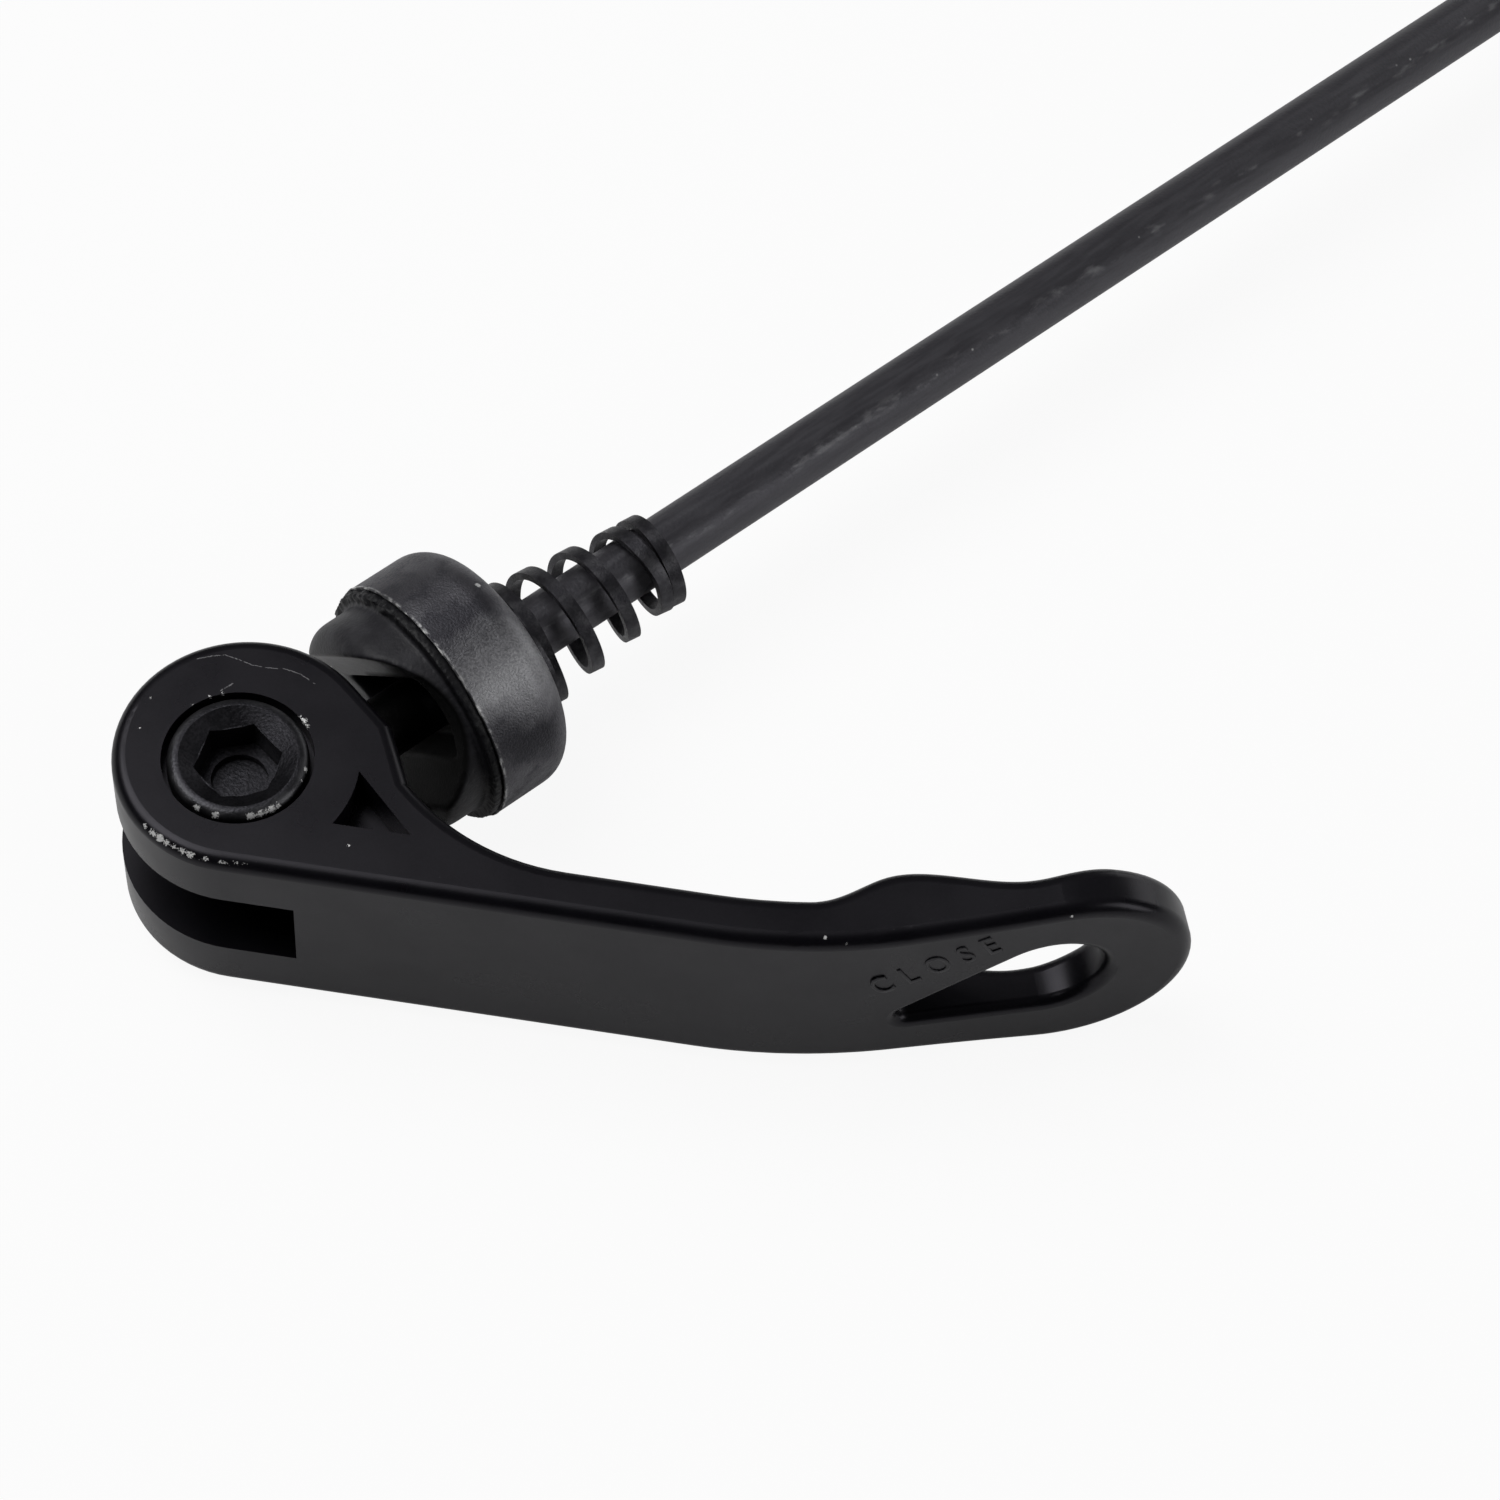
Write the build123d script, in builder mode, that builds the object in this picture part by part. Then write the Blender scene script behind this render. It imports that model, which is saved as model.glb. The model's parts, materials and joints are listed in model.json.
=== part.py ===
"""Quick release skewer for a bicycle wheel: cam lever, pressure cap, rod, springs and adjusting nut.

Millimetres. +X runs along the rod from the lever to the nut, +Z is up along the lever's pivot.
The origin is on the rod's axis, half way between the two clamping faces.
"""

import os
from math import atan2, cos, degrees, radians, sin

from build123d import *

os.makedirs("parts", exist_ok=True)

# Clamping length between the faces of the cap and the nut: a 135 mm rear hub and two dropouts
hub_clamp_length = 145.0

# Rod
rod_diameter = 5.0
rod_past_nut = 3.0
rod_end_chamfer = 0.6
thread_clearance = 0.05

# Lever: a fork with two eccentric ears, a flat blade and a bent paddle with a finger slot
lever_fold_angle = 47.6
lever_height = 18.4
ear_radius = 9.95
cam_offset = 0.92
cam_offset_angle = 63.0
lobe_flat = 4.8
lobe_flank_drop = 4.7
lobe_flank_run = 2.1
fork_gap = 7.5
fork_throat_radius = 10.8
fork_throat_shelf = 1.5
neck_start = 25.5
blade_thickness = 4.0
bend_start = 36.5
bend_angle = 17.5
bend_radius = 50.0
lever_reach = 69.65
paddle_radius = 10.2
paddle_flare_start = 38.0
lever_edge_round = 1.1

# Thumb bump on the back of the blade, measured along the paddle from the end of the bend
bump_start_angle = 8.8
bump_crest_at = -1.0
bump_rise = 1.7
hollow_at = 9.3
hollow_depth = 0.35
hollow_end = 15.5

# Finger slot through the paddle: a hull of a large and a small circle, set back from the paddle's centre
slot_setback = 1.05
slot_round_rise = 0.25
slot_round_radius = 4.5
slot_length = 10.3
slot_point_drop = 3.2
slot_point_radius = 1.0
slot_edge_round = 0.9

# Three-cornered lightening pocket in the outside of each ear
pocket_inner_radius = 9.05
pocket_floor_line = -4.4
pocket_tip_reach = 13.8
pocket_slope = 45.0
pocket_depth = 3.4

# Pivot pin with a low button head, cross-drilled for the rod
pin_diameter = 8.0
pin_clearance = 0.05
pin_head_diameter = 10.6
pin_head_proud = 0.25
pin_head_edge = 0.8
pin_dish_radius = 4.4
pin_dish_depth = 0.8
pin_dish_taper = 60.0
pin_head_gap = 0.4
head_seat_depth = 1.6
head_seat_clearance = 0.1
pin_end_recess = 0.4
pin_end_chamfer = 0.5
hex_across_flats = 5.8
hex_depth = 3.4
hex_turn = 33.0
hex_drill_diameter = 4.3
hex_drill_depth = 0.7

# Pressure cap: a drawn steel cup
cap_radius = 10.4
cap_length = 7.5
cap_wall = 1.3
cap_floor = 2.2
cap_edge_round = 2.9
slide_clearance = 0.3

# Cam saddle: moulded bearing that sits in the cap
cam_slack = 4.95
pad_clearance = 0.7
horn_radius = 9.2
horn_depth = 3.75
saddle_flange_radius = 10.2
saddle_flange_thickness = 2.0
pad_sink = 0.55
horn_round = 1.8
saddle_pocket_width = 7.0
saddle_pocket_height = 13.0
saddle_pocket_depth = 3.0
saddle_fit = 0.05

# Serrations on both clamping faces, around the recess that the spring sits in
serration_count = 20
serration_outer_radius = 8.8
serration_width = 0.9
serration_depth = 0.45
serration_taper = 25.0

# Conical springs of flat wire, wide end in a recess of the clamping face
spring_recess_depth = 1.3
spring_recess_clearance = 0.3
spring_wire_width = 1.15
spring_wire_thickness = 0.6
spring_wide_radius = 5.9
spring_flat_turns = 1.0
spring_seat_turns = 1.0
spring_open_turns = 3.0
spring_end_turns = 1.3
spring_pitch = 4.0
spring_start_angle = 142.0
spring_seat_gap = 0.05
spring_rod_clearance = 0.9
spring_hang_y = -0.5
spring_hang_z = -0.3
spring_lean = 0.12
spring_coil_gap = 0.15
spring_points_per_turn = 8

# Adjusting nut with a nylon lock ring
nut_radius = 10.4
nut_flange_thickness = 4.0
nut_taper_length = 2.2
nut_grip_radius = 7.6
nut_length = 13.5
nut_grip_flats = 12.8
nut_edge_round = 1.0
ring_radius = 4.3
ring_length = 3.2
ring_fit = 0.05

# Places along the rod
rod_radius = rod_diameter / 2
cap_face_x = -hub_clamp_length / 2
nut_face_x = hub_clamp_length / 2
cap_rim_x = cap_face_x - cap_length
saddle_front_x = cap_rim_x - saddle_flange_thickness
pad_floor_x = saddle_front_x + pad_sink
horn_tip_x = pad_floor_x - horn_depth
cam_lift_angle = radians(lever_fold_angle - cam_offset_angle)
cam_reach = ear_radius + cam_offset * cos(cam_lift_angle)
pivot_x = pad_floor_x - cam_slack - cam_reach
pivot = Vector(pivot_x, 0, 0)
nut_end_x = nut_face_x + nut_length
spring_hang = Vector(spring_hang_y, spring_hang_z).length
spring_recess_radius = spring_wide_radius + spring_hang + spring_recess_clearance


def across_rod(x):
    """Plane square to the rod at x, with its normal along +X and +Z up."""
    return Plane(origin=(x, 0, 0), x_dir=(0, 1, 0), z_dir=(1, 0, 0))


# Lever planes: one lies flat at the pivot with its x along the blade, one stands along the paddle
paddle_heading = radians(bend_angle - lever_fold_angle)
lever_plane = Plane(
    origin=pivot,
    x_dir=(cos(radians(lever_fold_angle)), -sin(radians(lever_fold_angle)), 0),
    z_dir=(0, 0, 1),
)
paddle_plane = Plane(
    origin=pivot,
    x_dir=(cos(paddle_heading), sin(paddle_heading), 0),
    z_dir=(sin(paddle_heading), -cos(paddle_heading), 0),
)

# Key points of the lever's plan, in the lever plane
cam_centre = Vector(cam_offset, 0).rotate(Axis.Z, cam_offset_angle)
front_line = cam_centre.Y - ear_radius
back_line = front_line + blade_thickness
paddle_dir = Vector(1, 0).rotate(Axis.Z, bend_angle)
paddle_up = Vector(0, 1).rotate(Axis.Z, bend_angle)
bend_centre = Vector(bend_start, front_line + bend_radius)
inner_bend_radius = bend_radius - blade_thickness
inner_bend_end = bend_centre - paddle_up * inner_bend_radius
bump_start = bend_centre - Vector(0, inner_bend_radius).rotate(Axis.Z, bump_start_angle)
bump_start_dir = Vector(1, 0).rotate(Axis.Z, bump_start_angle)
bump_crest = inner_bend_end + paddle_dir * bump_crest_at + paddle_up * bump_rise
hollow = inner_bend_end + paddle_dir * hollow_at - paddle_up * hollow_depth
hollow_finish = inner_bend_end + paddle_dir * hollow_end
lobe_start = cam_centre + Vector(ear_radius, 0).rotate(Axis.Z, lever_fold_angle)
lobe_corner = lobe_start + Vector(0, -lobe_flat).rotate(Axis.Z, lever_fold_angle)
flank_end = lobe_corner + Vector(lobe_flank_run, -lobe_flank_drop)

# The paddle's side view: a hollow arc leads from the straight blade into the round tip
paddle_centre = lever_reach - paddle_radius
slot_round_at = paddle_centre - slot_setback
slot_point_at = slot_round_at - slot_length
flare_run = paddle_centre - paddle_flare_start
half_height = lever_height / 2
flare_radius = (flare_run**2 + half_height**2 - paddle_radius**2) / (2 * (paddle_radius - half_height))
flare_centre = half_height + flare_radius
flare_angle = degrees(atan2(flare_run, flare_centre))
blank_margin = 10.0
blank_end = lever_reach + blank_margin
half_blank = half_height + paddle_radius

with BuildPart() as lever:
    with BuildSketch(lever_plane.offset(-half_blank)):
        with BuildLine():
            CenterArc(cam_centre, ear_radius, lever_fold_angle, 270 - lever_fold_angle)
            front = Line((cam_centre.X, front_line), (bend_start, front_line))
            outer_bend = JernArc(front @ 1, front % 1, bend_radius, bend_angle)
            paddle_front = PolarLine(outer_bend @ 1, blank_end - bend_start, bend_angle)
            blade_end = Line(paddle_front @ 1, (paddle_front @ 1) + paddle_up * blade_thickness)
            Line(blade_end @ 1, hollow_finish)
            Spline(
                hollow_finish,
                hollow,
                bump_crest,
                bump_start,
                tangents=(paddle_dir * -1, bump_start_dir * -1),
            )
            CenterArc(bend_centre, inner_bend_radius, 270, bump_start_angle)
            Line((bend_start, back_line), (neck_start, back_line))
            TangentArc((neck_start, back_line), flank_end, tangent=(-1, 0))
            Line(flank_end, lobe_corner)
            Line(lobe_corner, lobe_start)
        make_face()
    extrude(amount=2 * half_blank)
    with BuildSketch(paddle_plane.offset(-blank_end)):
        with BuildLine():
            Line((-2 * ear_radius, 0), (-2 * ear_radius, half_height))
            Line((-2 * ear_radius, half_height), (paddle_flare_start, half_height))
            CenterArc((paddle_flare_start, flare_centre), flare_radius, 270, flare_angle)
            CenterArc((paddle_centre, 0), paddle_radius, 0, 90 + flare_angle)
            mirror(about=Plane.XZ)
        make_face()
    extrude(amount=2 * blank_end, mode=Mode.INTERSECT)
    fillet(lever.edges().filter_by(Axis.Z, reverse=True), lever_edge_round)
    with BuildSketch(paddle_plane.offset(-blank_end)):
        with Locations((slot_round_at, slot_round_rise)):
            Circle(slot_round_radius)
        with Locations((slot_point_at, -slot_point_drop)):
            Circle(slot_point_radius)
        make_hull()
    extrude(amount=2 * blank_end, mode=Mode.SUBTRACT)
    across_paddle = Axis(pivot, paddle_plane.z_dir)
    slot_rims = lever.edges(Select.LAST).filter_by(across_paddle, reverse=True)
    fillet(slot_rims, slot_edge_round)
    with BuildSketch(lever_plane.offset(-fork_gap / 2)):
        Circle(fork_throat_radius)
        with Locations((0, fork_throat_shelf)):
            Rectangle(4 * ear_radius, 2 * ear_radius, align=(Align.CENTER, Align.MIN))
    extrude(amount=fork_gap, mode=Mode.SUBTRACT)
    with BuildSketch(lever_plane.offset(-half_blank)):
        Circle(pin_diameter / 2 + pin_clearance)
    extrude(amount=2 * half_blank, mode=Mode.SUBTRACT)
    with BuildSketch(lever_plane.offset(half_height - head_seat_depth)):
        Circle(pin_head_diameter / 2 + pin_head_gap)
    extrude(amount=head_seat_depth, mode=Mode.SUBTRACT)
    for pocket_plane in (
        lever_plane.offset(half_height - pocket_depth),
        lever_plane.offset(-half_height),
    ):
        with BuildSketch(pocket_plane):
            with BuildLine():
                slope_top = Vector(pocket_tip_reach, pocket_floor_line) + Vector(
                    -pocket_tip_reach, 0
                ).rotate(Axis.Z, -pocket_slope)
                Polyline(
                    (0, pocket_floor_line),
                    (pocket_tip_reach, pocket_floor_line),
                    slope_top,
                    close=True,
                )
            make_face()
            Circle(pocket_inner_radius, mode=Mode.SUBTRACT)
        extrude(amount=pocket_depth, mode=Mode.SUBTRACT)
lever.part.label = "lever"
export_step(lever.part, "parts/lever.step")

# Pivot pin: stands along Z, its cross hole takes the rod
pin_radius = pin_diameter / 2
head_seat_z = half_height - head_seat_depth + head_seat_clearance
head_top_z = half_height + pin_head_proud
pin_bottom_z = pin_end_recess - half_height
pin_plane = Plane(origin=pivot)

with BuildPart() as pivot_pin:
    with BuildSketch(pin_plane.offset(pin_bottom_z)):
        Circle(pin_radius)
    extrude(amount=head_seat_z - pin_bottom_z)
    chamfer(pivot_pin.edges().group_by(Axis.Z)[0], pin_end_chamfer)
    with BuildSketch(pin_plane.offset(head_seat_z)):
        Circle(pin_head_diameter / 2)
    extrude(amount=head_top_z - head_seat_z)
    fillet(pivot_pin.edges().group_by(Axis.Z)[-1], pin_head_edge)
    with BuildSketch(pin_plane.offset(head_top_z)):
        Circle(pin_dish_radius)
    extrude(amount=-pin_dish_depth, taper=pin_dish_taper, mode=Mode.SUBTRACT)
    with BuildSketch(pin_plane.offset(head_top_z - hex_depth)):
        RegularPolygon(hex_across_flats / 2, 6, major_radius=False, rotation=hex_turn)
    extrude(amount=hex_depth, mode=Mode.SUBTRACT)
    with BuildSketch(pin_plane.offset(head_top_z - hex_depth - hex_drill_depth)):
        Circle(hex_drill_diameter / 2)
    extrude(amount=hex_drill_depth, mode=Mode.SUBTRACT)
    with BuildSketch(across_rod(pivot_x - pin_diameter)):
        Circle(rod_radius + thread_clearance)
    extrude(amount=2 * pin_diameter, mode=Mode.SUBTRACT)
pivot_pin.part.label = "pivot_pin"
export_step(pivot_pin.part, "parts/pivot_pin.step")

# Rod: starts inside the pin and ends past the nut
rod_start_x = pivot_x - pin_radius + pin_end_chamfer
rod_end_x = nut_end_x + rod_past_nut

with BuildPart() as skewer_rod:
    with BuildSketch(across_rod(rod_start_x)):
        Circle(rod_radius)
    extrude(amount=rod_end_x - rod_start_x)
    chamfer(skewer_rod.edges().group_by(Axis.X)[-1], rod_end_chamfer)
skewer_rod.part.label = "skewer_rod"
export_step(skewer_rod.part, "parts/skewer_rod.step")


def serrations(face_x):
    """Sketch of the radial grooves that run from the spring recess out over the clamping face."""
    groove_start = spring_recess_radius - serration_width
    with BuildSketch(across_rod(face_x)) as grooves:
        with PolarLocations((serration_outer_radius + groove_start) / 2, serration_count):
            Rectangle(serration_outer_radius - groove_start, serration_width)
    return grooves.sketch


# Pressure cap: cup open towards the lever
cup_radius = cap_radius - cap_wall
cup_floor_x = cap_face_x - cap_floor

with BuildPart() as pressure_cap:
    with BuildSketch(across_rod(cap_rim_x)):
        Circle(cap_radius)
    extrude(amount=cap_length)
    fillet(pressure_cap.edges().group_by(Axis.X)[-1], cap_edge_round)
    with BuildSketch(across_rod(cap_rim_x)):
        Circle(cup_radius)
    extrude(amount=cup_floor_x - cap_rim_x, mode=Mode.SUBTRACT)
    with BuildSketch(across_rod(cap_rim_x)):
        Circle(rod_radius + slide_clearance)
    extrude(amount=cap_length, mode=Mode.SUBTRACT)
    with BuildSketch(across_rod(cap_face_x)):
        Circle(spring_recess_radius)
    extrude(amount=-spring_recess_depth, mode=Mode.SUBTRACT)
    extrude(
        serrations(cap_face_x), amount=-serration_depth, taper=serration_taper, mode=Mode.SUBTRACT
    )
pressure_cap.part.label = "pressure_cap"
export_step(pressure_cap.part, "parts/pressure_cap.step")

# Cam saddle: spigot in the cup, flange on its rim, two horns with a hollow pad for the ears
pad_radius = ear_radius + pad_clearance
pad_centre_x = pad_floor_x - pad_radius

with BuildPart() as cam_saddle:
    with BuildSketch(across_rod(horn_tip_x)):
        Circle(horn_radius)
    extrude(amount=cap_rim_x - horn_tip_x)
    fillet(cam_saddle.edges().group_by(Axis.X)[0], horn_round)
    with BuildSketch(across_rod(saddle_front_x)):
        Circle(saddle_flange_radius)
    extrude(amount=saddle_flange_thickness)
    with BuildSketch(across_rod(cap_rim_x)):
        Circle(cup_radius - saddle_fit)
    extrude(amount=cup_floor_x - cap_rim_x)
    with BuildSketch(Plane.XY.offset(-cap_radius)):
        with Locations((pad_centre_x, 0)):
            Circle(pad_radius)
    extrude(amount=2 * cap_radius, mode=Mode.SUBTRACT)
    with BuildSketch(across_rod(horn_tip_x)):
        Rectangle(saddle_pocket_width, saddle_pocket_height)
    extrude(amount=horn_depth + saddle_pocket_depth - pad_sink, mode=Mode.SUBTRACT)
    with BuildSketch(across_rod(horn_tip_x)):
        Circle(rod_radius + slide_clearance)
    extrude(amount=cup_floor_x - horn_tip_x, mode=Mode.SUBTRACT)
cam_saddle.part.label = "cam_saddle"
export_step(cam_saddle.part, "parts/cam_saddle.step")

# Adjusting nut: serrated flange, tapered shoulder and a grip with two flats
nut_bore = rod_radius + thread_clearance
grip_x = nut_face_x + nut_flange_thickness + nut_taper_length

with BuildPart() as adjusting_nut:
    with BuildSketch(Plane.XZ):
        with BuildLine():
            Polyline(
                (nut_face_x, nut_bore),
                (nut_face_x, nut_radius),
                (nut_face_x + nut_flange_thickness, nut_radius),
                (grip_x, nut_grip_radius),
                (nut_end_x, nut_grip_radius),
                (nut_end_x, ring_radius),
                (nut_end_x - ring_length, ring_radius),
                (nut_end_x - ring_length, nut_bore),
                close=True,
            )
        make_face()
    revolve(axis=Axis.X)
    flange_edges = adjusting_nut.edges().filter_by(GeomType.CIRCLE).group_by(SortBy.RADIUS)[-1]
    fillet(flange_edges, nut_edge_round)
    with BuildSketch(across_rod(grip_x)):
        for side in (-1, 1):
            with Locations((0, side * (nut_grip_flats / 2 + nut_radius))):
                Rectangle(2 * nut_radius, 2 * nut_radius)
    extrude(amount=nut_end_x - grip_x, mode=Mode.SUBTRACT)
    with BuildSketch(across_rod(nut_face_x)):
        Circle(spring_recess_radius)
    extrude(amount=spring_recess_depth, mode=Mode.SUBTRACT)
    extrude(
        serrations(nut_face_x), amount=serration_depth, taper=serration_taper, mode=Mode.SUBTRACT
    )
adjusting_nut.part.label = "adjusting_nut"
export_step(adjusting_nut.part, "parts/adjusting_nut.step")

with BuildPart() as nut_lock_ring:
    with BuildSketch(across_rod(nut_end_x - ring_length)):
        Circle(ring_radius - ring_fit)
        Circle(nut_bore, mode=Mode.SUBTRACT)
    extrude(amount=ring_length)
nut_lock_ring.part.label = "nut_lock_ring"
export_step(nut_lock_ring.part, "parts/nut_lock_ring.step")


def spring_path(face_x, away):
    """Centre line of the flat wire: closed turns at both ends, a leaning cone between.

    It starts on the floor of the recess in the face at face_x; away is 1 for +X and -1 for -X.
    """
    wide = spring_wide_radius - spring_wire_thickness / 2
    narrow = rod_radius + spring_rod_clearance + spring_wire_thickness / 2
    close_pitch = spring_wire_width + spring_coil_gap
    cone_turns = spring_seat_turns + spring_open_turns
    steps = round((spring_flat_turns + cone_turns + spring_end_turns) * spring_points_per_turn)
    points = []
    for step in range(steps + 1):
        turn = step / spring_points_per_turn
        raised = max(turn - spring_flat_turns, 0)
        opened = min(max(raised - spring_seat_turns, 0), spring_open_turns)
        closed = turn - opened
        radius = wide + (narrow - wide) * min(raised / cone_turns, 1)
        angle = radians(360 * turn + spring_start_angle)
        lean = spring_lean * min(raised, 1) * radius * cos(angle)
        along = spring_seat_gap + spring_wire_width / 2 - spring_recess_depth
        along += close_pitch * closed + spring_pitch * opened + lean
        y = spring_hang_y + radius * cos(angle)
        z = spring_hang_z + radius * sin(angle)
        points.append((face_x + away * along, y, z))
    return points


def coil(face_x, away):
    """Sweep the flat wire along its path."""
    with BuildPart() as spring:
        with BuildLine():
            path = Spline(*spring_path(face_x, away))
        with BuildSketch(Plane(origin=path @ 0, x_dir=(0, 1, 0), z_dir=path % 0)):
            Rectangle(spring_wire_thickness, spring_wire_width)
        sweep(path=path, is_frenet=True)
    return spring


lever_spring = coil(cap_face_x, 1)
lever_spring.part.label = "lever_spring"
export_step(lever_spring.part, "parts/lever_spring.step")

nut_spring = coil(nut_face_x, -1)
nut_spring.part.label = "nut_spring"
export_step(nut_spring.part, "parts/nut_spring.step")
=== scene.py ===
"""Looks of the quick release skewer: finishes, thread, raised word, torn saddle, light, camera."""

import json
import math

import bmesh
import bpy
from mathutils import Matrix, Quaternion, Vector


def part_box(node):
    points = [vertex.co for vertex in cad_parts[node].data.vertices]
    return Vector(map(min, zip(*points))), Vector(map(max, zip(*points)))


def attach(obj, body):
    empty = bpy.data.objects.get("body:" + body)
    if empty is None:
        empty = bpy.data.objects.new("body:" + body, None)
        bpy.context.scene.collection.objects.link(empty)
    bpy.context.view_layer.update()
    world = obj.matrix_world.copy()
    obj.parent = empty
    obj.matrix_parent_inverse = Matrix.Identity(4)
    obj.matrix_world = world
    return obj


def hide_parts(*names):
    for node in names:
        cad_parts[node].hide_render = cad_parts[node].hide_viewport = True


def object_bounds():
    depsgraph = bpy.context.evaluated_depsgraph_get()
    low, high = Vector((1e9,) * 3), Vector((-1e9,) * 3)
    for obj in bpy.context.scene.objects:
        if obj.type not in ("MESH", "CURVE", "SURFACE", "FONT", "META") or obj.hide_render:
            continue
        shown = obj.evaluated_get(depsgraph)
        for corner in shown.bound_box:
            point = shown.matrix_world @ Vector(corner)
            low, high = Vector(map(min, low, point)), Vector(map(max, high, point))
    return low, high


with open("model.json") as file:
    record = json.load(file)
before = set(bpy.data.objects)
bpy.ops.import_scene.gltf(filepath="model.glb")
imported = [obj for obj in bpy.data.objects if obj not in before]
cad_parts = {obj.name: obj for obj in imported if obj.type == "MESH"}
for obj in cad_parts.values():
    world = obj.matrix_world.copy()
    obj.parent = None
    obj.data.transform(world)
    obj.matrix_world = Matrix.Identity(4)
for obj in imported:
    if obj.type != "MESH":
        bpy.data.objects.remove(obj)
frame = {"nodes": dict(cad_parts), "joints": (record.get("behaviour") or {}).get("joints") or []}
cad_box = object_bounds()
bpy.ops.object.select_all(action="DESELECT")
bpy.context.scene.view_settings.view_transform = "Standard"

mm = 0.001
nodes = frame["nodes"]
joints = {joint["name"]: joint for joint in frame["joints"]}
pivot = Vector(joints["lever_swing"]["pos_m"])
pivot_mm = pivot / mm

# Camera: the photo's own view, 1500 pixels square
view_azimuth = -46.483
view_elevation = 58.485
view_roll = 7.462
view_distance = 300.455 * mm
view_aim = pivot + Vector((32.26, -21.24, 5.376)) * mm
view_lens = 94.64
view_sensor = 36.0

# Floor and room
floor_radius = 3.0
floor_sides = 96
floor_white = 0.95
glow_seen = 0.92
glow_mirrored = 0.15
room_dark = (0.02, 0.02, 0.021, 1)
room_pale = (0.175, 0.175, 0.18, 1)
room_pale_towards = Vector((0.379, 0.360, 0.853))
room_dark_from = 0.55
room_pale_from = 0.93

# Lever places in mm
lever_heading = -47.6
paddle_heading = -30.1
cam_offset = 0.92
cam_offset_angle = 63.0 + lever_heading
ear_radius = 9.95
ear_top = 9.2
ear_round = 1.1

# Rod thread in mm: M5 with a coarse pitch, rolled on the nut's end
thread_pitch = 0.8
thread_length = 33.0
thread_root = 2.02
thread_run_out = 0.8
thread_crest_width = 0.1
thread_foot_width = 0.74
thread_foot_sink = 0.12
thread_chamfer = 0.6
thread_trim_ease = 1.002
core_end_narrowing = 0.93
rod_sides = 64
rod_smooth_angle = 32.0

# Raised word in mm on the paddle's front
word = "CLOSE"
word_at = 49.1
word_height = 4.4
word_slope = 28.0
letter_size = 3.8
letter_narrow = 0.6
letter_spacing = 1.75
letter_raise = 0.04
letter_edge = 0.05
letter_weld = 0.002
letter_smooth_angle = 35.0
word_probe = 60.0

# Nylon saddle in mm: place and reach from the solid, with a thin torn flange and a hollow pad.
# Loose on the rod, it lies turned about it; the far horn is shorter, so that it clears the lever.
saddle_turn = 40.0
horn_radius = 9.2
horn_round = 1.8
spigot_radius = 9.05
flange_thickness = 0.8
pad_floor = 3.75
pad_radius = 8.8
pad_sides = 160
rod_pocket_width = 7.0
rod_pocket_height = 13.0
rod_pocket_depth = 2.45
rod_hole = 2.8
horn_worn = 0.75
saddle_voxel = 0.16
saddle_softening = 25
saddle_margin = 0.1
horn_margin = 0.2
flange_inner = 9.5
flange_tear = 0.5
flange_tear_size = 0.9
flange_fray = 0.16
flange_fray_size = 0.35
torn_side = 2.0
torn_height = -2.0

# Cap burr in mm
burr_thickness = 0.07
burr_wave = 0.16
burr_wave_size = 0.9
burr_steps = 480
burr_sides = 8

# Worn marks: share of the width they reach out to, and how finely a line breaks up
mark_reach = 0.55
break_scale = 1.7
break_edge = 0.08

# Colours of the finishes
paint_dark = (0.0026, 0.0024, 0.0034)
paint_pale = (0.004, 0.0037, 0.0052)
paint_sheen = (0.93, 0.9, 1, 1)
paint_dust = (0.03, 0.03, 0.031)
paint_scratch = (0.2, 0.2, 0.205)
bare_alloy = (0.78, 0.78, 0.77)
oxide_dark = (0.018, 0.018, 0.021)
oxide_pale = (0.036, 0.035, 0.04)
# Rubbed grey of the pin's rim, partly a painted highlight on its rounded edge
oxide_rubbed_and_highlight = (0.12, 0.12, 0.127)
bare_pin = (0.85, 0.85, 0.84)
rod_dark = (0.07, 0.068, 0.077)
rod_pale = (0.088, 0.086, 0.096)
# Scuffed line along the rod, partly a painted highlight where the lit band runs
rod_scuff_and_highlight = (0.2, 0.2, 0.21)
rod_fleck = (0.55, 0.55, 0.55)
# Painted shade: near black on the rod's cam end, between the lever's ears
rod_end_shade = (0.0012, 0.0012, 0.0013)
cap_dark = (0.085, 0.083, 0.093)
cap_pale = (0.125, 0.123, 0.134)
cap_blotch = (0.062, 0.061, 0.07)
cap_dull = (0.05, 0.049, 0.057)
# Rubbed speckled place in front of the cap, partly a painted highlight
cap_rubbed_and_highlight = (0.42, 0.42, 0.435)
cap_stain = (0.052, 0.051, 0.059)
cap_edge = (0.6, 0.6, 0.6)
cap_spot = (0.7, 0.7, 0.7)
saddle_dark = (0.024, 0.0235, 0.027)
saddle_pale = (0.036, 0.0355, 0.04)
# Painted shade: the saddle's flange under the cap's rim and its hollow go near black
saddle_flange_shade = (0.009, 0.009, 0.0105)
saddle_hollow_shade = (0.0008, 0.0008, 0.0009)
ring_dark = (0.012, 0.012, 0.013)
ring_pale = (0.025, 0.025, 0.027)
nylon_dust = (0.05, 0.05, 0.05)
wire_dark = (0.036, 0.035, 0.04)
wire_pale = (0.075, 0.074, 0.08)
nut_dark = (0.006, 0.006, 0.0065)
nut_pale = (0.011, 0.011, 0.012)
nut_dust = (0.04, 0.04, 0.04)
burr_dark = (0.06, 0.06, 0.065)
burr_bright = (0.62, 0.62, 0.61)

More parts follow.
